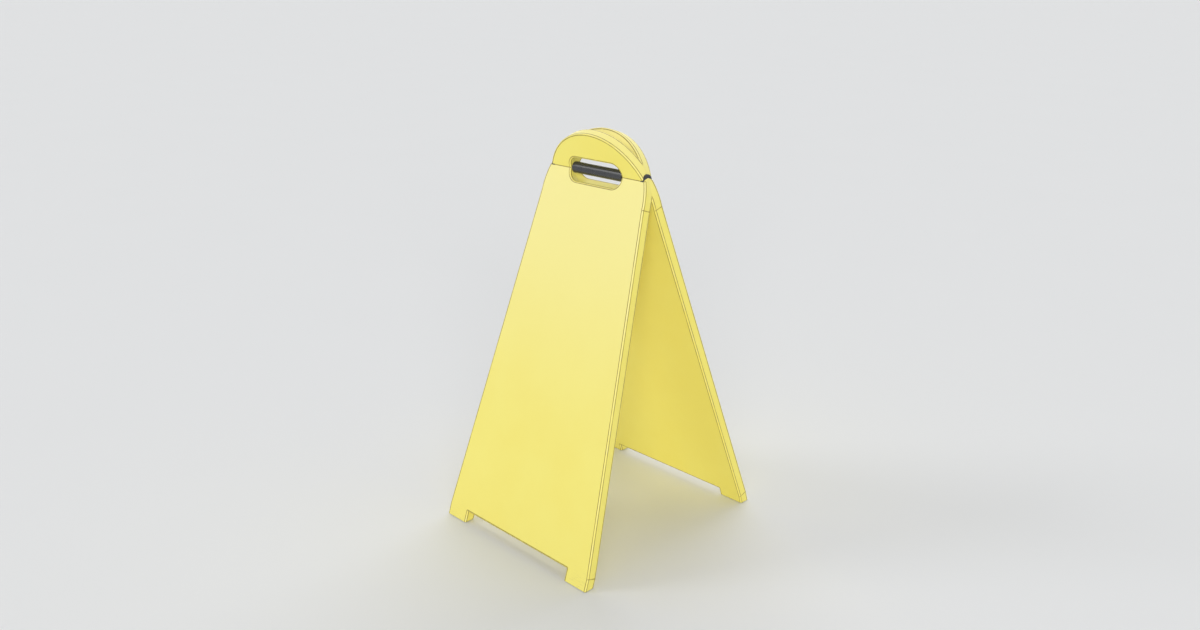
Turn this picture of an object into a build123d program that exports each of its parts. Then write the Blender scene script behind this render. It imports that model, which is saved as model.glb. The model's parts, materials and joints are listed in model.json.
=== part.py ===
"""Folding floor warning sign: two moulded leaves, two butt hinges and a carrying bar.

Millimetres. The origin is on the floor under the middle of the open sign. +Z is up, X runs along the
carrying bar, and the front leaf stands towards -Y. The rear leaf mirrors the front one.
"""

import os
from math import cos, radians, sin, sqrt, tan

from build123d import *

# Boards
lean = 18.0
board_thickness = 17.5
leg_length = 600.0
foot_half_width = 163.3
foot_height = 16.7
head_radius = 108.7
head_height = 65.3
notch_half_width = 118.0
notch_height = 16.0
edge_round = 2.4
side_blend = 20.0

# Hand slot
slot_length = 108.0
slot_height = 43.0
slot_corner = 17.0

# Moulding: skin, rim, ribs and the covers let into the rim
skin = 2.0
cover_border = 3.2
cover_ledge = 2.0
cover_thickness = 2.0
cover_gap = 0.15
cover_corner = 6.0
cover_above_meeting = 10.0
notch_wall = 7.0
rib_thickness = 2.0
leg_rib_count = 6
leg_rib_spacing = 62.0
boss_radius = 4.5
peg_radius = 2.0
peg_length = 6.0
peg_clearance = 0.03

# Foot pads
pad_length = 32.0
pad_width = 11.0
pad_thickness = 3.0
pad_proud = 1.0
pad_clearance = 0.1

# Where the leaves meet when the sign is open, and how far below that they turn
stop_gap = 0.2
pivot_drop = 0.5

# Butt hinges
hinge_length = 36.0
plate_height = 14.0
plate_thickness = 1.5
plate_clearance = 0.1
barrel_radius = 3.6
barrel_clearance = 0.3
knuckle_length = 9.0
knuckle_gap = 0.2
hinge_pin_radius = 1.75
pin_press_clearance = 0.02
pin_running_clearance = 0.05
hinge_screw_height = 8.5
hinge_screw_inset = 9.0

# Screws of the hinges and the clamps
screw_radius = 1.45
screw_head_radius = 2.7
screw_head_slope = 45.0
screw_length = 9.0
screw_clearance = 0.05

# Carrying bar
rod_radius = 4.0
rod_seat_clearance = 0.05
grip_radius = 8.9
grip_bore_clearance = 0.08
grip_end_gap = 0.3
grip_end_round = 0.8
washer_thickness = 1.0
washer_radius = 6.5
cap_length = 6.6
cap_setback = 2.06
cap_wall = 3.0
cap_round = 0.6
cap_clearance = 0.3
bar_clearance = 0.5

# Clamps that hold the bar to the front leaf
clamp_length = 20.0
clamp_height = 27.0
clamp_thickness = 2.0
clamp_arch = 2.4
clamp_screw_height = 9.7

# Values worked out from the sizes above
lean_cos = cos(radians(lean))
lean_sin = sin(radians(lean))
half_board = board_thickness / 2
cap_radius = half_board / lean_cos
axis_height = pad_proud + leg_length * lean_cos
pivot_height = axis_height - half_board / lean_sin - pivot_drop
foot_distance = leg_length * lean_sin
foot_middle = (foot_half_width + notch_half_width) / 2
stop_depth = stop_gap / 2
cover_from_fold = half_board / tan(radians(lean)) + cover_above_meeting
head_centre_drop = head_radius - head_height
fold_half_width = sqrt(head_radius**2 - head_centre_drop**2)
hinge_middle = (slot_length / 2 + fold_half_width) / 2
side_run = leg_length - foot_height - head_centre_drop
side_slope = (foot_half_width - head_radius) / side_run
plate_face = stop_depth + plate_clearance
screw_reach = plate_face + screw_length + screw_clearance
washer_face = slot_length / 2 - grip_end_gap
washer_middle = washer_face - washer_thickness / 2
grip_end = washer_face - washer_thickness - grip_end_gap
cap_face = fold_half_width - cap_setback
cap_back = cap_face - cap_length
cap_middle = cap_face - cap_length / 2
cap_socket = cap_length - cap_wall
rod_end = cap_face - cap_wall - rod_seat_clearance
clamp_centre = (slot_length / 2 + cap_back) / 2
reach = 4 * leg_length
sides = {"left": -1, "right": 1}

leg_plane = Plane(origin=(0, 0, axis_height), x_dir=(1, 0, 0), z_dir=(0, -lean_cos, lean_sin))
head_plane = Plane(origin=(0, 0, axis_height), x_dir=(1, 0, 0), z_dir=(0, -lean_cos, -lean_sin))
stop_plane = Plane.XZ.offset(stop_depth)


def along_x(x, y, z):
    """Place that turns a cylinder's length into the X direction."""
    return Location((x, y, z), (0, 90, 0))


def along_y(x, y, z):
    """Place that turns a cylinder's length into the Y direction."""
    return Location((x, y, z), (90, 0, 0))


def leg_half_width(drop):
    """Half the width of a leg, at a distance below the bar's axis along the board."""
    return head_radius + (drop - head_centre_drop) * side_slope


def leg_outline():
    """Outline of a leg, with the round head's circle above and spare length below the feet."""
    bottom = -leg_length - 2 * half_board * tan(radians(lean)) - 2 * edge_round
    notch_top = -leg_length + notch_height
    foot_top = -leg_length + foot_height
    shoulder = -head_centre_drop
    with BuildSketch() as outline:
        with BuildLine():
            Polyline(
                (-head_radius, shoulder),
                (-foot_half_width, foot_top),
                (-foot_half_width, bottom),
                (-notch_half_width, bottom),
                (-notch_half_width, notch_top),
                (notch_half_width, notch_top),
                (notch_half_width, bottom),
                (foot_half_width, bottom),
                (foot_half_width, foot_top),
                (head_radius, shoulder),
            )
            ThreePointArc((head_radius, shoulder), (0, head_radius + shoulder), (-head_radius, shoulder))
        make_face()
        shoulders = outline.vertices().group_by(Axis.Y)[-1]
        foot_tops = [outline.vertices().group_by(Axis.X)[end].sort_by(Axis.Y)[-1] for end in (0, -1)]
        fillet(shoulders + foot_tops, side_blend)
    return outline.sketch


def leg_field(inset):
    """Trapezoid on the leg's back that the cover fills, drawn in by an inset on all sides."""
    top = cover_from_fold + inset
    bottom = leg_length - notch_height - notch_wall - inset
    border = (cover_border + inset) * (1 + side_slope**2) ** 0.5
    with BuildSketch() as field:
        with BuildLine():
            Polyline(
                (leg_half_width(top) - border, -top),
                (leg_half_width(bottom) - border, -bottom),
                (border - leg_half_width(bottom), -bottom),
                (border - leg_half_width(top), -top),
                close=True,
            )
        make_face()
        fillet(field.vertices(), cover_corner - inset)
    return field.sketch


def head_field(inset):
    """Segment of a circle on the head's back that the cover fills, drawn in by an inset."""
    bottom = cover_from_fold + inset
    with BuildSketch() as field:
        with Locations((0, -head_centre_drop)):
            Circle(head_radius - cover_border - inset)
        with Locations((0, bottom)):
            Rectangle(reach, reach, align=(Align.CENTER, Align.MIN), mode=Mode.INTERSECT)
    return field.sketch


leg_rib_levels = [
    -cover_from_fold - leg_rib_spacing * (step + 1) - cover_ledge for step in range(leg_rib_count)
]
leg_pegs = [(side * leg_half_width(-level) / 2, level) for level in leg_rib_levels for side in (-1, 1)]
head_peg_height = cover_from_fold + cover_ledge + 2 * boss_radius
head_pegs = [(side * head_radius / 3, head_peg_height) for side in (-1, 1)]


def head_outline():
    """Circle of a head, whose upper part shows above the fold."""
    with BuildSketch() as outline:
        with Locations((0, -head_centre_drop)):
            Circle(head_radius)
    return outline.sketch


def rounded_board(outline):
    """Flat board with the outline's shape and the hand slot, and with its rims rounded on both broad faces."""
    with BuildPart() as board:
        with BuildSketch():
            add(outline)
            RectangleRounded(slot_length, slot_height, slot_corner, mode=Mode.SUBTRACT)
        extrude(amount=half_board, both=True)
        broad_faces = board.faces().filter_by(Axis.Z).sort_by(Axis.Z)
        fillet(broad_faces[0].edges() + broad_faces[-1].edges(), edge_round)
    return board.part


def leg_board():
    """Solid board of a leg, with its feet cut level and its top cut where the leaves meet."""
    with BuildPart() as leg:
        with Locations(leg_plane):
            add(rounded_board(leg_outline()))
        split(bisect_by=Plane.XY.offset(pad_proud), keep=Keep.TOP)
        split(bisect_by=Plane.XY.offset(axis_height), keep=Keep.BOTTOM)
        split(bisect_by=stop_plane, keep=Keep.TOP)
    return leg.part


def head_board():
    """Solid board of a head, the upper part of a disc, cut where it meets the leg and the other leaf."""
    with BuildPart() as head:
        with Locations(head_plane):
            add(rounded_board(head_outline()))
        split(bisect_by=Plane.XY.offset(axis_height), keep=Keep.TOP)
        split(bisect_by=stop_plane, keep=Keep.TOP)
    return head.part


def leaf_shell():
    """Moulded shell of the front leaf: leg and head boards, hollowed from behind, with the hinge seats."""
    with BuildPart() as shell:
        add(leg_board())
        add(head_board())
        # Hollow of the leg, which leaves the skin, the ribs and the bosses standing
        with BuildSketch(leg_plane.offset(half_board - skin)):
            add(leg_field(cover_ledge))
            for level in leg_rib_levels:
                with Locations((0, level)):
                    Rectangle(reach, rib_thickness, mode=Mode.SUBTRACT)
            Rectangle(rib_thickness, reach, mode=Mode.SUBTRACT)
            with Locations(leg_pegs):
                Circle(boss_radius, mode=Mode.SUBTRACT)
        extrude(amount=-board_thickness, mode=Mode.SUBTRACT)
        with BuildSketch(leg_plane.offset(cover_thickness - half_board)):
            add(leg_field(0))
        extrude(amount=-board_thickness, mode=Mode.SUBTRACT)
        with BuildSketch(leg_plane.offset(cover_thickness - half_board)):
            with Locations(leg_pegs):
                Circle(peg_radius + peg_clearance)
        extrude(amount=peg_length + peg_clearance, mode=Mode.SUBTRACT)
        # Hollow of the head
        with BuildSketch(head_plane.offset(half_board - skin)):
            add(head_field(cover_ledge))
            Rectangle(rib_thickness, reach, mode=Mode.SUBTRACT)
            with Locations(head_pegs):
                Circle(boss_radius, mode=Mode.SUBTRACT)
        extrude(amount=-board_thickness, mode=Mode.SUBTRACT)
        with BuildSketch(head_plane.offset(cover_thickness - half_board)):
            add(head_field(0))
        extrude(amount=-board_thickness, mode=Mode.SUBTRACT)
        with BuildSketch(head_plane.offset(cover_thickness - half_board)):
            with Locations(head_pegs):
                Circle(peg_radius + peg_clearance)
        extrude(amount=peg_length + peg_clearance, mode=Mode.SUBTRACT)
        for side in sides.values():
            # Seat of one hinge: room for the barrel, the plate's recess and its screw holes
            with Locations(along_x(side * hinge_middle, 0, pivot_height)):
                Cylinder(
                    barrel_radius + barrel_clearance,
                    hinge_length + 2 * barrel_clearance,
                    mode=Mode.SUBTRACT,
                )
            with Locations((side * hinge_middle, 0, pivot_height)):
                Box(
                    hinge_length + 2 * plate_clearance,
                    2 * (stop_depth + plate_clearance + plate_thickness),
                    plate_height + plate_clearance,
                    align=(Align.CENTER, Align.CENTER, Align.MIN),
                    mode=Mode.SUBTRACT,
                )
            with Locations(*[along_y(x, 0, z) for x, z in hinge_screw_points(side)]):
                Cylinder(screw_radius + screw_clearance, 2 * screw_reach, mode=Mode.SUBTRACT)
            # Pocket under one foot for its pad
            with Locations((side * foot_middle, -foot_distance, pad_proud)):
                Box(
                    pad_length + 2 * pad_clearance,
                    pad_width + 2 * pad_clearance,
                    2 * (pad_thickness - pad_proud),
                    mode=Mode.SUBTRACT,
                )
    return shell.part


def leaf_cover(plane, field, pegs):
    """Flat cover for the back of a leg or a head, with the pegs that snap into the shell's bosses."""
    with BuildPart() as cover:
        with BuildSketch(plane.offset(cover_thickness - half_board)):
            add(field(cover_gap))
        extrude(amount=-cover_thickness)
        with BuildSketch(plane.offset(cover_thickness - half_board)):
            with Locations(pegs):
                Circle(peg_radius)
        extrude(amount=peg_length)
    return cover.part


def hinge_screw_points(side):
    """Places of one hinge plate's screws, as X and Z."""
    spread = hinge_length / 2 - hinge_screw_inset
    height = pivot_height + hinge_screw_height
    return [(side * hinge_middle + offset, height) for offset in (-spread, spread)]


def clamp_screw_points(side):
    """Places of one clamp's screws, as X and Z."""
    return [(side * clamp_centre, axis_height + step * clamp_screw_height) for step in (-1, 1)]


def front_side(x, y, z):
    """Place on the front leaf's meeting face, whose depth points into that leaf."""
    return Location((x, y, z), (-90, 0, 0))


def rear_side(x, y, z):
    """Place on the rear leaf's meeting face, whose depth points into that leaf."""
    return Location((x, -y, z), (90, 0, 0))


def sink_holes(places, depth):
    """Holes for countersunk screws, cut where the screws stand."""
    with Locations(*places):
        CounterSinkHole(
            radius=screw_radius + screw_clearance,
            counter_sink_radius=screw_head_radius + screw_clearance,
            depth=depth,
            counter_sink_angle=2 * screw_head_slope,
        )


def screw_group(places):
    """Countersunk screws, one at each place, as separate solids."""
    sink_depth = (screw_head_radius - screw_radius) / tan(radians(screw_head_slope))
    with BuildPart() as screws:
        with BuildSketch(Plane.XZ, mode=Mode.PRIVATE) as profile:
            Polygon(
                (0, 0),
                (screw_head_radius, 0),
                (screw_radius, -sink_depth),
                (screw_radius, -screw_length),
                (0, -screw_length),
                align=None,
            )
        screw = revolve(profile.sketch, axis=Axis.Z, mode=Mode.PRIVATE)
        with Locations(*places):
            add(screw)
    return screws.part


def front_hinge_plate(side):
    """Front half of a butt hinge: a plate against the leaf and a knuckle at each end of the barrel."""
    middle_length = hinge_length - 2 * knuckle_length
    with BuildPart() as plate:
        with Locations((side * hinge_middle, -plate_face, pivot_height)):
            Box(hinge_length, plate_thickness, plate_height, align=(Align.CENTER, Align.MAX, Align.MIN))
        with Locations(along_x(side * hinge_middle, 0, pivot_height)):
            Cylinder(barrel_radius, hinge_length)
            Cylinder(barrel_radius + barrel_clearance, middle_length, mode=Mode.SUBTRACT)
            Cylinder(hinge_pin_radius + pin_press_clearance, hinge_length, mode=Mode.SUBTRACT)
        sink_holes([front_side(x, -plate_face, z) for x, z in hinge_screw_points(side)], plate_thickness)
    return plate.part


def rear_hinge_plate(side):
    """Rear half of a butt hinge: a plate against the leaf and the knuckle in the middle of the barrel."""
    middle_length = hinge_length - 2 * knuckle_length - 2 * knuckle_gap
    knuckle_shift = (middle_length + knuckle_length) / 2 + knuckle_gap
    with BuildPart() as plate:
        with Locations((side * hinge_middle, plate_face, pivot_height)):
            Box(hinge_length, plate_thickness, plate_height, align=(Align.CENTER, Align.MIN, Align.MIN))
        for step in (-1, 1):
            with Locations(along_x(side * hinge_middle + step * knuckle_shift, 0, pivot_height)):
                Cylinder(
                    barrel_radius + barrel_clearance,
                    knuckle_length + 2 * knuckle_gap,
                    mode=Mode.SUBTRACT,
                )
        with Locations(along_x(side * hinge_middle, 0, pivot_height)):
            Cylinder(barrel_radius, middle_length)
            Cylinder(hinge_pin_radius + pin_running_clearance, hinge_length, mode=Mode.SUBTRACT)
        sink_holes([rear_side(x, -plate_face, z) for x, z in hinge_screw_points(side)], plate_thickness)
    return plate.part


def rod_clamp(side):
    """Saddle that arches over the rod, with a flange let into the front leaf above and below it."""
    arch_radius = rod_radius + rod_seat_clearance + clamp_arch
    with BuildPart() as clamp:
        with Locations((side * clamp_centre, -plate_face, axis_height)):
            Box(clamp_length, clamp_thickness, clamp_height, align=(Align.CENTER, Align.MAX, Align.CENTER))
        with Locations(along_x(side * clamp_centre, 0, axis_height)):
            Cylinder(arch_radius, clamp_length)
            Cylinder(rod_radius + rod_seat_clearance, clamp_length, mode=Mode.SUBTRACT)
        split(bisect_by=Plane.XZ.offset(plate_face + clamp_thickness), keep=Keep.BOTTOM)
        sink_holes([front_side(x, -plate_face, z) for x, z in clamp_screw_points(side)], clamp_thickness)
    return clamp.part


def save(part, name):
    """Label a finished piece and write it to its own file."""
    part.label = name
    export_step(part, f"parts/{name}.step")


os.makedirs("parts", exist_ok=True)
leaf = leaf_shell()

# Front leaf: the moulded shell that carries the bar
with BuildPart() as front_leaf_shell:
    add(leaf)
    with Locations(along_x(0, 0, axis_height)):
        Cylinder(rod_radius + rod_seat_clearance, 2 * cap_back, mode=Mode.SUBTRACT)
        Cylinder(grip_radius + bar_clearance, slot_length, mode=Mode.SUBTRACT)
    for side in sides.values():
        with Locations(along_x(side * cap_middle, 0, axis_height)):
            Cylinder(cap_radius + cap_clearance, cap_length + 2 * cap_clearance, mode=Mode.SUBTRACT)
        with Locations((side * clamp_centre, 0, axis_height)):
            Box(
                clamp_length + 2 * plate_clearance,
                2 * (plate_face + clamp_thickness),
                clamp_height + 2 * plate_clearance,
                mode=Mode.SUBTRACT,
            )
        with Locations(*[along_y(x, 0, z) for x, z in clamp_screw_points(side)]):
            Cylinder(screw_radius + screw_clearance, 2 * screw_reach, mode=Mode.SUBTRACT)
save(front_leaf_shell.part, "front_leaf_shell")

# Rear leaf: the mirrored shell, with room for the rear half of the bar, its clamps and its caps
with BuildPart() as rear_leaf_shell:
    mirror(leaf, about=Plane.XZ)
    with Locations(along_x(0, 0, axis_height)):
        Cylinder(rod_radius + bar_clearance, 2 * cap_back, mode=Mode.SUBTRACT)
        Cylinder(grip_radius + bar_clearance, slot_length, mode=Mode.SUBTRACT)
    for side in sides.values():
        with Locations(along_x(side * cap_middle, 0, axis_height)):
            Cylinder(cap_radius + cap_clearance, cap_length + 2 * cap_clearance, mode=Mode.SUBTRACT)
        with Locations(along_x(side * clamp_centre, 0, axis_height)):
            Cylinder(
                rod_radius + rod_seat_clearance + clamp_arch + bar_clearance,
                clamp_length + 2 * bar_clearance,
                mode=Mode.SUBTRACT,
            )
save(rear_leaf_shell.part, "rear_leaf_shell")

# Covers on the backs of the legs and the heads
for piece, plane, field, pegs in (
    ("leg_cover", leg_plane, leg_field, leg_pegs),
    ("head_cover", head_plane, head_field, head_pegs),
):
    with BuildPart() as front_cover:
        add(leaf_cover(plane, field, pegs))
    save(front_cover.part, f"front_{piece}")
    with BuildPart() as rear_cover:
        mirror(front_cover.part, about=Plane.XZ)
    save(rear_cover.part, f"rear_{piece}")

# Hinges: two plates and a pin on each side of the hand slot
for name, side in sides.items():
    save(front_hinge_plate(side), f"{name}_hinge_front_plate")
    save(rear_hinge_plate(side), f"{name}_hinge_rear_plate")
    with BuildPart() as hinge_pin:
        with Locations(along_x(side * hinge_middle, 0, pivot_height)):
            Cylinder(hinge_pin_radius, hinge_length)
    save(hinge_pin.part, f"{name}_hinge_pin")

# Screws of the hinges and the clamps
hinge_screws = [point for side in sides.values() for point in hinge_screw_points(side)]
clamp_screws = [point for side in sides.values() for point in clamp_screw_points(side)]
save(screw_group([front_side(x, -plate_face, z) for x, z in hinge_screws]), "front_hinge_screws")
save(screw_group([rear_side(x, -plate_face, z) for x, z in hinge_screws]), "rear_hinge_screws")
save(screw_group([front_side(x, -plate_face, z) for x, z in clamp_screws]), "clamp_screws")

# Carrying bar: steel rod, turning grip, washers, end caps and clamps
with BuildPart() as handle_rod:
    with Locations(along_x(0, 0, axis_height)):
        Cylinder(rod_radius, 2 * rod_end)
save(handle_rod.part, "handle_rod")

with BuildPart() as handle_grip:
    with Locations(along_x(0, 0, axis_height)):
        Cylinder(grip_radius, 2 * grip_end)
    fillet(handle_grip.edges().filter_by(GeomType.CIRCLE), grip_end_round)
    with Locations(along_x(0, 0, axis_height)):
        Cylinder(rod_radius + grip_bore_clearance, 2 * grip_end, mode=Mode.SUBTRACT)
save(handle_grip.part, "handle_grip")

for name, side in sides.items():
    with BuildPart() as grip_washer:
        with Locations(along_x(side * washer_middle, 0, axis_height)):
            Cylinder(washer_radius, washer_thickness)
            Cylinder(rod_radius + rod_seat_clearance, washer_thickness, mode=Mode.SUBTRACT)
    save(grip_washer.part, f"{name}_grip_washer")

    with BuildPart() as rod_cap:
        with Locations(along_x(side * cap_middle, 0, axis_height)):
            Cylinder(cap_radius, cap_length)
        fillet(rod_cap.edges().filter_by(GeomType.CIRCLE), cap_round)
        with Locations(along_x(side * cap_back, 0, axis_height)):
            Cylinder(rod_radius + rod_seat_clearance, 2 * cap_socket, mode=Mode.SUBTRACT)
    save(rod_cap.part, f"{name}_rod_cap")

    save(rod_clamp(side), f"{name}_rod_clamp")

# Rubber pads under the feet
for leaf_name, leaf_side in (("front", -1), ("rear", 1)):
    for name, side in sides.items():
        with BuildPart() as foot_pad:
            with Locations((side * foot_middle, leaf_side * foot_distance, 0)):
                Box(pad_length, pad_width, pad_thickness, align=(Align.CENTER, Align.CENTER, Align.MIN))
        save(foot_pad.part, f"{leaf_name}_{name}_foot_pad")
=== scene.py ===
"""Floor warning sign: two bare yellow leaves that fold on hidden hinges.

A dark carrying bar crosses the hand slot at the fold. Sizes are in millimetres up to the floor's section.
"""
import json
from math import cos, hypot, radians, sin, tau

import bpy
import numpy as np
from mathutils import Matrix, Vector


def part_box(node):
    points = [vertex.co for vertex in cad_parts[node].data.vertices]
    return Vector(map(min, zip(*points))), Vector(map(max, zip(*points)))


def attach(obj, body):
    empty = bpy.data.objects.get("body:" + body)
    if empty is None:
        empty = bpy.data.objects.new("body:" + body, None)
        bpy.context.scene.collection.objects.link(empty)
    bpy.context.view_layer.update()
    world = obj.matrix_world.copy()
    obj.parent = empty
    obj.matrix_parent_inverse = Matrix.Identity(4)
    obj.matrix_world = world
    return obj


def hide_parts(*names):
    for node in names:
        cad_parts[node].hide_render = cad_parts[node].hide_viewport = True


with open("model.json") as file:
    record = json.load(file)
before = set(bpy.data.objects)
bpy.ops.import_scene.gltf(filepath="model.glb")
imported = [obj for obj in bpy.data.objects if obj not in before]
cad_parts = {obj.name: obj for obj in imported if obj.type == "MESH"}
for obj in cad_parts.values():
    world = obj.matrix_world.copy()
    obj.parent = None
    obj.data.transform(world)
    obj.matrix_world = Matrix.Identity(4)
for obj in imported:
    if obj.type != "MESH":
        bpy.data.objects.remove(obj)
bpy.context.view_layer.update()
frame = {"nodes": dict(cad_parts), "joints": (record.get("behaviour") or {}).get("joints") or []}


# Leaves: each is a moulded tray, the leaf shell, closed at the back by a leg cover and a head cover.
# The plastic is satin yellow polypropylene with a fine spark grain. The rims are rounded, and the tool's
# rounded inserts leave a thin line where each rounding runs into a broad face or into the rim, darkened
# with painted groove shade and dirt.
millimetres = 1000.0
joints = {joint["name"]: joint for joint in frame["joints"]}
bar_height = joints["grip_spin"]["pos_m"][2] * millimetres
lean = radians(-joints["leaf_fold"]["range_deg"][0] / 2)
half_board = 8.75
leg_length = 600.0
foot_half_width = 163.3
foot_height = 16.7
head_radius = 108.7
head_centre_drop = 43.4
notch_half_width = 118.0
notch_height = 16.0
slot_half_length = 54.0
slot_half_height = 21.5
slot_corner = 17.0
edge_round = 2.4


def paint(red, green, blue):
    """A colour as a screen shows it, 0 to 255, by the sRGB curve to a shader's red, green, blue and alpha."""
    shown = np.array([red, green, blue]) / 255
    linear = np.where(shown <= 0.04045, shown / 12.92, ((shown + 0.055) / 1.055) ** 2.4)
    return (*(float(value) for value in linear), 1.0)


def fill(tree, socket, value):
    """Link a measure or an output to an input socket, or set the socket to a plain value."""
    if isinstance(value, Measure):
        value = value.socket
    if isinstance(value, bpy.types.NodeSocket):
        tree.links.new(value, socket)
    else:
        socket.default_value = value


class Measure:
    """A number that changes over a surface. Sums, products and so on become Math nodes in its node tree."""

    def __init__(self, tree, socket):
        self.tree = tree
        self.socket = socket

    def work(self, operation, *others):
        """This measure and the others through one Math node."""
        node = self.tree.nodes.new("ShaderNodeMath")
        node.operation = operation
        for socket, term in zip(node.inputs, (self, *others)):
            fill(self.tree, socket, term)
        return Measure(self.tree, node.outputs["Value"])

    def __add__(self, other):
        return self.work("ADD", other)

    def __sub__(self, other):
        return self.work("SUBTRACT", other)

    def __rsub__(self, number):
        return self * -1.0 + number

    def __mul__(self, other):
        return self.work("MULTIPLY", other)

    def __abs__(self):
        return self.work("ABSOLUTE")

    def least(self, other):
        return self.work("MINIMUM", other)

    def most(self, other):
        return self.work("MAXIMUM", other)

    def above(self, level):
        return self.work("GREATER_THAN", level)

    def below(self, level):
        return self.work("LESS_THAN", level)

    def with_side(self, other):
        """The long side of a right triangle whose short sides are this measure and the other."""
        return (self * self + other * other).work("SQRT")

    def ramp(self, start, end, first=0.0, last=1.0):
        """Goes smoothly from first to last while this measure goes from start to end."""
        node = self.tree.nodes.new("ShaderNodeMapRange")
        node.interpolation_type = "SMOOTHSTEP"
        terms = {"Value": self, "From Min": start, "From Max": end, "To Min": first, "To Max": last}
        for name, term in terms.items():
            fill(self.tree, node.inputs[name], term)
        return Measure(self.tree, node.outputs["Result"])

    def line(self, centre, width):
        """1 in the middle of a thin line where this measure equals centre, falling to 0 at its sides."""
        return abs(self - centre).ramp(width / 2, 0.0)


def group_inputs(group, values):
    """Give a node group number inputs by name, with their usual values. They come back as measures."""
    for name, value in values.items():
        socket = group.interface.new_socket(name, in_out="INPUT", socket_type="NodeSocketFloat")
        socket.default_value = value
    entry = group.nodes.new("NodeGroupInput")
    return {name: Measure(group, entry.outputs[name]) for name in values}


def group_outputs(group, measures):
    """Give a node group number outputs by name, each from a measure."""
    for name in measures:
        group.interface.new_socket(name, in_out="OUTPUT", socket_type="NodeSocketFloat")
    leaving = group.nodes.new("NodeGroupOutput")
    for name, measure in measures.items():
        fill(group, leaving.inputs[name], measure)


def place_group(tree, group, values):
    """Place a node group in a tree with its own values, and give its outputs as measures by name."""
    node = tree.nodes.new("ShaderNodeGroup")
    node.node_tree = group
    for name, value in values.items():
        fill(tree, node.inputs[name], value)
    return {socket.name: Measure(tree, socket) for socket in node.outputs}


def object_place(tree):
    """The place on the piece in millimetres, as a vector."""
    place = tree.nodes.new("ShaderNodeTexCoord").outputs["Object"]
    scaled = tree.nodes.new("ShaderNodeVectorMath")
    scaled.operation = "SCALE"
    fill(tree, scaled.inputs["Vector"], place)
    fill(tree, scaled.inputs["Scale"], millimetres)
    return scaled.outputs["Vector"]


def separate(tree, vector):
    """The three parts of a vector as measures: across, along and up."""
    parts = tree.nodes.new("ShaderNodeSeparateXYZ")
    fill(tree, parts.inputs["Vector"], vector)
    return [Measure(tree, socket) for socket in parts.outputs]


def cloud(tree, vector, size, detail=2.0, roughness=0.5):
    """Soft noise from 0 to 1 with spots of about `size` millimetres: one number, three, or a measure."""
    if isinstance(size, float):
        size = (size, size, size)
    spread = tree.nodes.new("ShaderNodeVectorMath")
    spread.operation = "DIVIDE"
    fill(tree, spread.inputs[0], vector)
    fill(tree, spread.inputs[1], size)
    noise = tree.nodes.new("ShaderNodeTexNoise")
    fill(tree, noise.inputs["Vector"], spread.outputs["Vector"])
    noise.inputs["Scale"].default_value = 1.0
    noise.inputs["Detail"].default_value = detail
    noise.inputs["Roughness"].default_value = roughness
    return Measure(tree, noise.outputs["Fac"])


def blend(tree, share, under, over):
    """The colour `under` where share is 0 and `over` where it is 1."""
    mix = tree.nodes.new("ShaderNodeMix")
    mix.data_type = "RGBA"
    sockets = {socket.identifier: socket for socket in (*mix.inputs, *mix.outputs)}
    fill(tree, sockets["Factor_Float"], share)
    fill(tree, sockets["A_Color"], under)
    fill(tree, sockets["B_Color"], over)
    return sockets["Result_Color"]


def board_measures_group():
    """Where a point lies on a leaf, in millimetres. `Rim` is how far it is inside the board's outline, slot
    and notch, and `Slot` how far it is outside the slot. `Outward` is how far it is from the middle of the
    board's thickness, towards the outer face. `Drop` is how far it is from the bar along the board. `Rise` is
    its height above the bar's axis, 0 along the fold. `Below Centre` is how far it is below the middle of the
    round head."""
    group = bpy.data.node_groups.new("board_measures", "ShaderNodeTree")
    across, along, up = separate(group, object_place(group))
    across = abs(across)
    along = abs(along)
    rise = up - bar_height
    drop = abs(rise) * cos(lean) + along * sin(lean)
    outward = along * cos(lean) - abs(rise) * sin(lean)
    on_leg = rise.below(0.0)
    below_bar = drop * (on_leg * 2.0 - 1.0)
    below_centre = below_bar - head_centre_drop
    round_head = head_radius - across.with_side(below_centre)
    leg_slope = (foot_half_width - head_radius) / (leg_length - foot_height - head_centre_drop)
    side = (below_centre * leg_slope + head_radius - across) * (1 / hypot(1, leg_slope))
    side = side.least(foot_half_width - across)
    straight = below_centre.above(0.0)
    outline = side * straight + round_head * (1.0 - straight)
    past_slot_end = (across - (slot_half_length - slot_corner)).most(0.0)
    past_slot_side = (drop - (slot_half_height - slot_corner)).most(0.0)
    slot = past_slot_end.with_side(past_slot_side) - slot_corner
    beside_notch = (across - notch_half_width).most(0.0)
    over_notch = (leg_length - notch_height - below_bar).most(0.0)
    notch = beside_notch.with_side(over_notch)
    group_outputs(
        group,
        {
            "Rim": outline.least(slot).least(notch),
            "Slot": slot,
            "Outward": outward,
            "Drop": drop,
            "Rise": rise,
            "Below Centre": below_centre,
        },
    )
    return group


rub_size = (9.0, 9.0, 26.0)


def moulded_grain_group():
    """The skin of a moulded piece: `Grain`, the fine texture of the tool; `Mottle`, broad uneven tone; and
    `Rub`, patchy marks of handling. All go from 0 to 1, and the sizes are in millimetres."""
    group = bpy.data.node_groups.new("moulded_grain", "ShaderNodeTree")
    given = group_inputs(group, {"Grain Size": 0.8, "Mottle Size": 70.0})
    vector = object_place(group)
    group_outputs(
        group,
        {
            "Grain": cloud(group, vector, given["Grain Size"]),
            "Mottle": cloud(group, vector, given["Mottle Size"], detail=3.0),
            "Rub": cloud(group, vector, rub_size, detail=6.0, roughness=0.62),
        },
    )
    return group


def new_material(name):
    """A material with a Principled shader: the material, its node tree and the shader."""
    material = bpy.data.materials.new(name)
    material.use_nodes = True
    tree = material.node_tree
    return material, tree, tree.nodes["Principled BSDF"]


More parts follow.
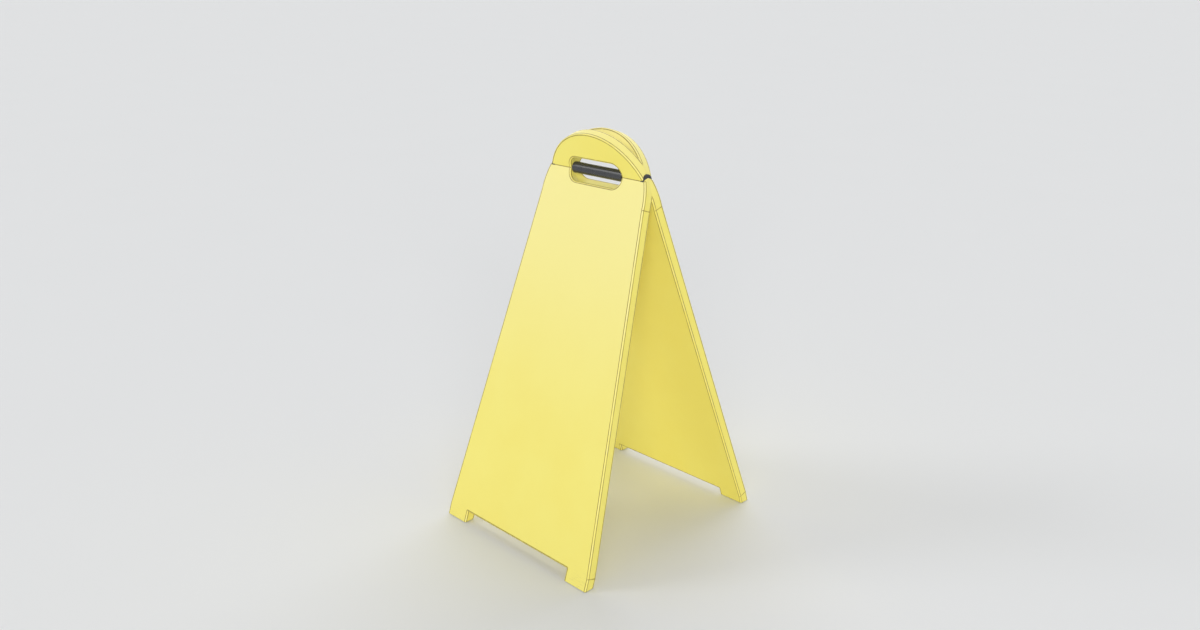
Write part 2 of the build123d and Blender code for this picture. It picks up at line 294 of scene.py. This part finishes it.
def relief(tree, shader, height, depth):
    """Raise the surface by a height times a depth in millimetres."""
    bump = tree.nodes.new("ShaderNodeBump")
    bump.inputs["Strength"].default_value = 1.0
    bump.inputs["Distance"].default_value = depth / millimetres
    fill(tree, bump.inputs["Height"], height)
    fill(tree, shader.inputs["Normal"], bump.outputs["Normal"])


def dress(material, *names):
    """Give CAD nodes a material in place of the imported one."""
    for name in names:
        for place in frame["nodes"][name].material_slots:
            place.material = material


board_measures = board_measures_group()
moulded_grain = moulded_grain_group()

yellow = paint(241, 229, 115)
yellow_deep = paint(240, 226, 108)
# Painted sheen: the palest yellow, laid on towards the top.
yellow_painted_sheen = paint(243, 233, 151)
yellow_rubbed = paint(246, 238, 170)
# Painted groove shade and dirt for the thin lines: ochre, with a brown core.
line_shade_and_dirt_ochre = paint(176, 153, 54)
line_shade_and_dirt_brown = paint(112, 91, 30)
scuff_grey = paint(112, 104, 84)

leaf_grain_size = 0.7
leaf_grain_depth = 0.07
leaf_mottle_size = 80.0
leaf_mottle_levels = (0.25, 0.75)
leaf_roughness = 0.43
mottle_roughness = 0.06
grain_roughness = 0.12

# Lines of the moulding tool: how wide and deep they are, where they stop, and how dark they are painted
# with groove shade and dirt.
line_width = 2.4
line_depth = 0.2
face_line_reach = 0.4
fold_line_reach = 1.0
pocket_start = 90.7
pocket_end = 98.0
pocket_radius = 9.55
meeting_depth = 0.6
line_wear_levels = (0.3, 0.6)
line_wear_least = 0.72
line_share = 0.85
core_start = 0.35
core_share = 0.85

# Painted sheen, paler towards the top: from a low share at one height to all of it at another.
sheen_from = 120.0
sheen_to = 580.0
sheen_least = 0.12
rim_sheen = 0.5
sheen_edge = 0.3
slot_shade = 2.0

# Rubbed roundings, and scuffs near the feet.
rub_edge = 0.4
rub_start = 0.5
rub_full = 0.8
rub_levels = (0.42, 0.66)
rub_share = 0.5
rub_polish = 0.15
scuff_height = 40.0
scuff_overrun = 4.0
scratch_size = (14.0, 14.0, 0.9)
scratch_levels = (0.53, 0.68)
scuff_levels = (0.4, 0.62)
scuff_share = 0.4
scuff_roughness = 0.25


def yellow_moulding():
    """Satin yellow plastic: even tone with a faint mottle, a painted sheen paler towards the top where a face
    looks out or up, painted groove shade and dirt in the thin lines, roundings a little paler where they are
    rubbed, and scuffs low down."""
    material, tree, shader = new_material("yellow_moulding")
    board = place_group(tree, board_measures, {})
    skin = place_group(tree, moulded_grain, {"Grain Size": leaf_grain_size, "Mottle Size": leaf_mottle_size})
    vector = object_place(tree)
    across, along, up = separate(tree, vector)
    rim, outward, drop, rise = (board[name] for name in ("Rim", "Outward", "Drop", "Rise"))
    depth = abs(outward)
    on_rim = rim.below(edge_round - line_width / 2)

    face_lines = rim.line(edge_round, line_width) * depth.above(half_board - face_line_reach)
    rim_lines = depth.line(half_board - edge_round, line_width) * on_rim
    fold_line = rise.line(0.0, line_width) * depth.above(half_board - fold_line_reach)
    head_insert = board["Below Centre"].line(0.0, line_width) * on_rim
    foot_insert = drop.line(leg_length - foot_height, line_width) * on_rim
    by_pocket = abs(across).above(pocket_start) * abs(across).below(pocket_end)
    in_pocket = by_pocket * along.with_side(rise).below(pocket_radius)
    lines = face_lines.most(rim_lines).most(fold_line).most(head_insert).most(foot_insert)
    lines = lines * (1.0 - in_pocket) * abs(along).above(meeting_depth)
    lines = lines * skin["Rub"].ramp(*line_wear_levels, line_wear_least, 1.0)

    # Painted sheen: the outer faces of the legs, the upward faces of the heads and the head's rim are painted
    # paler towards the top, but not in the slot.
    outer_leg = outward.ramp(half_board - edge_round, half_board - sheen_edge) * rise.below(0.0)
    inner_head = outward.ramp(edge_round - half_board, sheen_edge - half_board) * rise.above(0.0)
    top_of_head = board["Below Centre"].ramp(0.0, -head_radius / 2, 0.0, rim_sheen) * on_rim
    painted_sheen_mask = outer_leg.most(inner_head).most(top_of_head) * board["Slot"].ramp(sheen_edge, slot_shade)
    tone = blend(tree, skin["Mottle"].ramp(*leaf_mottle_levels), yellow_deep, yellow)
    tone = blend(tree, painted_sheen_mask * up.ramp(sheen_from, sheen_to, sheen_least, 1.0), tone, yellow_painted_sheen)

    by_rounding = depth.ramp(half_board - edge_round - rub_start, half_board - rub_full)
    rubbed = rim.ramp(edge_round, rub_edge) * by_rounding * skin["Rub"].ramp(*rub_levels, 0.0, rub_share)
    tone = blend(tree, rubbed, tone, yellow_rubbed)
    scratches = cloud(tree, vector, scratch_size, detail=5.0, roughness=0.7)
    near_foot = drop.ramp(leg_length - scuff_height, leg_length + scuff_overrun)
    scuffs = near_foot * scratches.ramp(*scratch_levels) * skin["Rub"].ramp(*scuff_levels, 0.0, scuff_share)
    tone = blend(tree, scuffs, tone, scuff_grey)
    # The thin lines are darkened with painted groove shade and dirt.
    tone = blend(tree, lines * line_share, tone, line_shade_and_dirt_ochre)
    tone = blend(tree, lines.ramp(core_start, 1.0, 0.0, core_share), tone, line_shade_and_dirt_brown)

    fill(tree, shader.inputs["Base Color"], tone)
    roughness = skin["Mottle"] * mottle_roughness + skin["Grain"] * grain_roughness + leaf_roughness
    roughness = roughness + scuffs * scuff_roughness - rubbed * rub_polish
    fill(tree, shader.inputs["Roughness"], roughness)
    relief(tree, shader, skin["Grain"] * leaf_grain_depth - lines * line_depth, 1.0)
    return material


dress(
    yellow_moulding(),
    "front_leaf_shell",
    "rear_leaf_shell",
    "front_leg_cover",
    "rear_leg_cover",
    "front_head_cover",
    "rear_head_cover",
)


# Hinges: two steel butt hinges, pressed and zinc plated, beside the slot where the leaves meet.
# Each plate lies in a seat in its leaf, and the pin is pressed into the front plate's two knuckles.
zinc_bright = (0.66, 0.66, 0.67, 1.0)
zinc_dull = (0.47, 0.475, 0.49, 1.0)
zinc_patch_size = 5.0
zinc_patch_levels = (0.35, 0.68)
zinc_roughness = 0.2
patch_roughness = 0.22
rolled_roughness = 0.14
rolled_size = (9.0, 0.25, 0.25)
rolled_depth = 0.01


def zinc_plating():
    """Zinc plate: grey metal with a fine rolled grain and dull cloudy patches."""
    material, tree, shader = new_material("zinc_plating")
    vector = object_place(tree)
    patches = cloud(tree, vector, zinc_patch_size, detail=4.0)
    rolled = cloud(tree, vector, rolled_size, detail=3.0)
    tone = blend(tree, patches.ramp(*zinc_patch_levels), zinc_dull, zinc_bright)
    fill(tree, shader.inputs["Base Color"], tone)
    shader.inputs["Metallic"].default_value = 1.0
    roughness = patches * patch_roughness + rolled * rolled_roughness + zinc_roughness
    fill(tree, shader.inputs["Roughness"], roughness)
    relief(tree, shader, rolled, rolled_depth)
    return material


zinc = zinc_plating()
for side in ("left", "right"):
    dress(zinc, f"{side}_hinge_front_plate", f"{side}_hinge_rear_plate", f"{side}_hinge_pin")


# Screws: countersunk zinc-plated steel, driven from the meeting face into the leaves.
# Two hold each hinge plate and two hold each rod clamp. Each head has a cross recess for the driver.
screw_radius = 1.45
screw_head_radius = 2.7
screw_sink = 1.25
screw_length = 9.0
screw_rim = 0.12
screw_tip_length = 1.5
screw_tip_round = 0.2
screw_tip_share = 0.3
screw_sharp_angle = 30
recess_reach = 1.55
recess_half_width = 0.42
recess_depth = 1.1
recess_floor_share = 0.55
recess_wall_share = 0.9
recess_wall_depth = 0.75
recess_lip = 0.04
recess_mouth_share = 1.03
recess_least_sine = 0.01
recess_first_turn = 0.4
recess_turn_step = 1.9
screw_turns = 96
hinge_screw_rise = 8.5
hinge_screw_spread = 9.0
clamp_screw_rise = 9.7


def closed_faces(ring_count, ring_size):
    """Faces of a closed surface: a fan round a first pole, quads between rings, and a fan round a last pole.
    The points are numbered first pole, the rings one after another, last pole."""
    step = np.arange(ring_size)
    following = (step + 1) % ring_size
    ring_start = 1 + ring_size * np.arange(ring_count - 1)[:, None]
    near = ring_start + step
    far = ring_start + following
    quads = np.stack((near, far, far + ring_size, near + ring_size), axis=-1).reshape(-1, 4)
    last_start = 1 + ring_size * (ring_count - 1)
    last_pole = last_start + ring_size
    first_fan = np.stack((step * 0, 1 + following, 1 + step), axis=-1)
    last_fan = np.stack((step * 0 + last_pole, last_start + step, last_start + following), axis=-1)
    return first_fan.tolist() + quads.tolist() + last_fan.tolist()


def new_piece(name, points, faces, material, body, sharp_angle):
    """Make a piece from points in millimetres, with sharp edges above an angle, and fix it to its body."""
    mesh = bpy.data.meshes.new(name)
    mesh.from_pydata((points / millimetres).tolist(), [], faces)
    mesh.shade_smooth()
    mesh.set_sharp_from_angle(angle=radians(sharp_angle))
    mesh.materials.append(material)
    piece = bpy.data.objects.new(name, mesh)
    bpy.context.scene.collection.objects.link(piece)
    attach(piece, body)
    return piece


def screw_surface(turn):
    """One screw with its head at the origin and its length along -Y, and a recess turned by an angle. Round
    the axis the recess reaches to the edge of a cross: the smaller of its reach and its half width over the
    sine of the angle to the nearest arm. The rings run from the recess over the head to the tip."""
    angle = np.arange(screw_turns) * tau / screw_turns
    off_arm = (angle - turn + tau / 8) % (tau / 4) - tau / 8
    off_sine = np.maximum(np.abs(np.sin(off_arm)), recess_least_sine)
    cross = np.minimum(recess_reach, recess_half_width / off_sine)
    rings = (
        (cross * recess_floor_share, recess_depth),
        (cross * recess_wall_share, recess_depth * recess_wall_depth),
        (cross, recess_lip),
        (cross * recess_mouth_share, 0.0),
        ((cross + screw_head_radius) / 2, 0.0),
        (screw_head_radius - screw_rim, 0.0),
        (screw_head_radius, screw_rim),
        (screw_radius, screw_sink),
        (screw_radius, screw_length - screw_tip_length),
        (screw_radius * screw_tip_share, screw_length - screw_tip_round),
    )
    radius = np.array([np.broadcast_to(ring_radius, angle.shape) for ring_radius, ring_depth in rings])
    depth = np.array([np.broadcast_to(ring_depth, angle.shape) for ring_radius, ring_depth in rings])
    round_points = np.stack((radius * np.cos(angle), -depth, radius * np.sin(angle)), axis=-1).reshape(-1, 3)
    poles = np.array([(0.0, -recess_depth, 0.0), (0.0, -screw_length, 0.0)])
    return np.concatenate((poles[:1], round_points, poles[1:])), closed_faces(len(rings), screw_turns)


def node_corners(node):
    """The lowest and highest corners of a CAD node, in millimetres."""
    return np.array(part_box(node)) * millimetres


def screws(node, places, body):
    """Screws at places (x, z) in place of a CAD node's plain ones. The recesses stop at different angles."""
    low, high = node_corners(node)
    faces_front = high[1] > 0
    points = []
    faces = []
    for number, (x, z) in enumerate(places):
        screw, screw_faces = screw_surface(recess_first_turn + recess_turn_step * number)
        if faces_front:
            screw = screw * (1, -1, 1)
            screw_faces = [face[::-1] for face in screw_faces]
        offset = len(screw) * number
        points.append(screw + (x, low[1] if faces_front else high[1], z))
        faces += [[corner + offset for corner in face] for face in screw_faces]
    name = f"{node}_turned"
    piece = new_piece(name, np.concatenate(points), faces, zinc, body, screw_sharp_angle)
    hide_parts(node)


pivot_height = joints["leaf_fold"]["pos_m"][2] * millimetres
hinge_screws = []
clamp_screws = []
for side in ("left", "right"):
    hinge_middle = node_corners(f"{side}_hinge_front_plate").mean(axis=0)[0]
    clamp_middle = node_corners(f"{side}_rod_clamp").mean(axis=0)[0]
    for step in (-1, 1):
        hinge_screws.append((hinge_middle + step * hinge_screw_spread, pivot_height + hinge_screw_rise))
        clamp_screws.append((clamp_middle, bar_height + step * clamp_screw_rise))
screws("front_hinge_screws", hinge_screws, "front_leaf")
screws("rear_hinge_screws", hinge_screws, "rear_leaf")
screws("clamp_screws", clamp_screws, "front_leaf")


# Carrying bar: a dark moulded grip that turns on the steel rod, with dark caps on the rod's ends.
# Nylon washers keep the grip off the slot's walls, and two moulded clamps hold the rod to the front leaf.
dark_mottle_size = 30.0
dark_mottle_levels = (0.3, 0.7)
dark_mottle_share = 0.6
dark_rub_levels = (0.5, 0.75)
dark_rub_share = 0.4
dark_unevenness = 0.08
dark_grain_depth = 0.05


def dark_moulding(name, dark, pale, grain_size, roughness):
    """Dark grained plastic: nearly even tone, a little paler where it is rubbed."""
    material, tree, shader = new_material(name)
    skin = place_group(tree, moulded_grain, {"Grain Size": grain_size, "Mottle Size": dark_mottle_size})
    mottled = skin["Mottle"].ramp(*dark_mottle_levels, 0.0, dark_mottle_share)
    rubbed = skin["Rub"].ramp(*dark_rub_levels, 0.0, dark_rub_share)
    fill(tree, shader.inputs["Base Color"], blend(tree, mottled + rubbed, dark, pale))
    uneven = skin["Mottle"] * dark_unevenness + skin["Grain"] * dark_unevenness
    fill(tree, shader.inputs["Roughness"], uneven + roughness)
    relief(tree, shader, skin["Grain"], dark_grain_depth)
    return material


dress(zinc, "handle_rod")
dress(
    dark_moulding("grip_moulding", paint(51, 52, 55), paint(59, 60, 63), grain_size=0.8, roughness=0.19),
    "handle_grip",
)
dress(
    dark_moulding("cap_moulding", paint(46, 47, 50), paint(54, 55, 57), grain_size=0.8, roughness=0.3),
    "left_rod_cap",
    "right_rod_cap",
)
dress(
    dark_moulding("clamp_moulding", paint(58, 59, 61), paint(70, 71, 73), grain_size=0.6, roughness=0.5),
    "left_rod_clamp",
    "right_rod_clamp",
)
dress(
    dark_moulding("washer_nylon", paint(52, 52, 53), paint(66, 66, 67), grain_size=0.5, roughness=0.38),
    "left_grip_washer",
    "right_grip_washer",
)


# Foot pads: four black rubber strips pressed into pockets under the feet, which the sign stands on.
# Each is moulded with rounded lower edges and four grooves along its tread.
pad_round = 0.7
pad_sharp_angle = 40
tread_pitch = 2.3
tread_depth = 0.45
tread_end = 4.0
tread_gap = tread_end / 3
tread_run_out = tread_end / 2
groove_gain = 1.6
groove_cut = 0.5
end_stations = 13
middle_stations = 5
tread_points = 121
corner_points = 8
pad_rubber = dark_moulding("pad_rubber", paint(38, 38, 39), paint(54, 54, 53), grain_size=0.9, roughness=0.62)


def pad_surface(low, high):
    """A pad between two corners. Its section is a box with a waved bottom, height = depth times the upper
    part of a cosine across the pad, and rounded lower corners. It is carried along the pad, where the grooves
    run out and the section draws in towards both ends."""
    length, width, height = high - low
    near_end = np.linspace(0, tread_end, end_stations)
    middle = np.linspace(tread_end, length - tread_end, middle_stations)[1:-1]
    station = np.concatenate((near_end, middle))
    station = np.unique(np.concatenate((station, length - station)))
    end_gap = np.minimum(station, length - station)
    inside_round = np.clip(pad_round - end_gap, 0, None)
    draw_in = pad_round - np.sqrt(np.clip(pad_round**2 - inside_round**2, 0, None))
    groove_share = np.clip((end_gap - tread_gap) / tread_run_out, 0, 1)
    bottom = np.linspace(pad_round - width / 2, width / 2 - pad_round, tread_points)
    ridge = np.cos(bottom * tau / tread_pitch - tau / 2)
    wave = np.clip(groove_gain * ridge - groove_cut, 0, 1) * tread_depth
    turn = np.linspace(0, tau / 4, corner_points)[1:]
    corner_out = width / 2 - pad_round + pad_round * np.sin(turn)
    corner_up = pad_round - pad_round * np.cos(turn)
    across = np.concatenate((bottom, corner_out, (width / 2, -width / 2), -corner_out[::-1]))
    rise = np.concatenate((bottom * 0, corner_up, (height, height), corner_up[::-1]))
    groove = np.concatenate((wave, np.zeros(len(across) - len(wave))))
    narrowing = 1 - draw_in[:, None] / (width / 2)
    y = across[None, :] * narrowing
    z = np.maximum(rise[None, :] + groove[None, :] * groove_share[:, None], draw_in[:, None])
    x = np.broadcast_to(station[:, None], y.shape)
    rings = np.stack((x, y, z), axis=-1)
    poles = np.array([(0.0, 0.0, height / 2), (length, 0.0, height / 2)])
    points = np.concatenate((poles[:1], rings.reshape(-1, 3), poles[1:]))
    return points + (low[0], (low[1] + high[1]) / 2, low[2]), closed_faces(len(station), len(across))


for leaf in ("front", "rear"):
    for side in ("left", "right"):
        node = f"{leaf}_{side}_foot_pad"
        name = f"{node}_tread"
        points, faces = pad_surface(*node_corners(node))
        pad = new_piece(name, points, faces, pad_rubber, f"{leaf}_leaf", pad_sharp_angle)
        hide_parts(node)


# Floor: a plain pale grey studio floor that runs out past what any view sees.
# It lies a hair below the pads, so that nothing cuts through it. From here on sizes are in metres.
floor_reach = 60.0
floor_drop = 0.0002
floor_grey = (0.778, 0.7875, 0.796, 1.0)
floor_paler = 1.01
floor_cloud_size = 400.0
floor_corners = np.array([(-1, -1), (1, -1), (1, 1), (-1, 1)]) * floor_reach
floor_mesh = bpy.data.meshes.new("studio_floor")
floor_mesh.from_pydata([(x, y, -floor_drop) for x, y in floor_corners], [], [(0, 1, 2, 3)])
floor = bpy.data.objects.new("studio_floor", floor_mesh)
bpy.context.scene.collection.objects.link(floor)


def floor_material():
    """Matt pale grey with an even, faint cloud, whose spots are in millimetres as on the pieces."""
    material, tree, shader = new_material("studio_floor")
    cloudy = cloud(tree, object_place(tree), floor_cloud_size)
    paler = tuple(value * floor_paler for value in floor_grey[:3]) + (1.0,)
    fill(tree, shader.inputs["Base Color"], blend(tree, cloudy, floor_grey, paler))
    shader.inputs["Roughness"].default_value = 1.0
    shader.inputs["Specular IOR Level"].default_value = 0.0
    return material


floor_mesh.materials.append(floor_material())


# Light: an even pale room and four broad soft lamps. The main one stands low at the front right, weaker ones
# at the front left and overhead, and a very broad one behind keeps the back from going dark.
# Each lamp has a name, the direction in which it stands, its strength and its spread in degrees.
room_level = 0.4
backdrop = (0.745, 0.753, 0.761, 1.0)
lamps = (
    ("right_lamp", (0.7, -0.68, 0.2), 1.88, 34.0),
    ("left_lamp", (-0.6, -0.6, 0.53), 0.5, 20.0),
    ("top_lamp", (0.1, 0.3, 0.95), 0.4, 60.0),
    ("back_lamp", (-0.5, 0.75, 0.43), 1.6, 75.0),
)


def room():
    """The room's light on the object, and the backdrop's colour where the camera, gloss or glass see it."""
    world = bpy.data.worlds.new("studio_room")
    world.use_nodes = True
    tree = world.node_tree
    light = tree.nodes["Background"]
    light.inputs["Color"].default_value = (1.0, 1.0, 1.0, 1.0)
    light.inputs["Strength"].default_value = room_level
    seen = tree.nodes.new("ShaderNodeBackground")
    seen.inputs["Color"].default_value = backdrop
    path = tree.nodes.new("ShaderNodeLightPath")
    looked_at = Measure(tree, path.outputs["Is Camera Ray"])
    for ray in ("Is Glossy Ray", "Is Transmission Ray"):
        looked_at = looked_at.most(Measure(tree, path.outputs[ray]))
    mix = tree.nodes.new("ShaderNodeMixShader")
    fill(tree, mix.inputs["Fac"], looked_at)
    fill(tree, mix.inputs[1], light.outputs["Background"])
    fill(tree, mix.inputs[2], seen.outputs["Background"])
    fill(tree, tree.nodes["World Output"].inputs["Surface"], mix.outputs["Shader"])
    return world


bpy.context.scene.world = room()
for name, direction, strength, spread in lamps:
    lamp = bpy.data.lights.new(name, "SUN")
    lamp.energy = strength
    lamp.angle = radians(spread)
    lamp_object = bpy.data.objects.new(name, lamp)
    lamp_object.rotation_mode = "QUATERNION"
    lamp_object.rotation_quaternion = Vector(direction).to_track_quat("Z", "Y")
    bpy.context.scene.collection.objects.link(lamp_object)
bpy.context.scene.view_settings.view_transform = "Standard"


# Camera: at the photograph's viewing angle, round to the right and a little above the bar.
# It aims just above the middle of the sign, with no shift and no depth of field.
view_turn = radians(44.94)
view_rise = radians(19.09)
view_distance = 1.637
view_aim = Vector((0.0001, 0.0, 0.34232))
camera = bpy.data.cameras.new("photo_camera")
camera.sensor_width = 36.0
camera.lens = 31.03
camera_object = bpy.data.objects.new("photo_camera", camera)
back = Vector((sin(view_turn) * cos(view_rise), -cos(view_turn) * cos(view_rise), sin(view_rise)))
camera_object.location = view_aim + back * view_distance
camera_object.rotation_mode = "QUATERNION"
camera_object.rotation_quaternion = back.to_track_quat("Z", "Y")
bpy.context.scene.collection.objects.link(camera_object)
bpy.context.scene.camera = camera_object
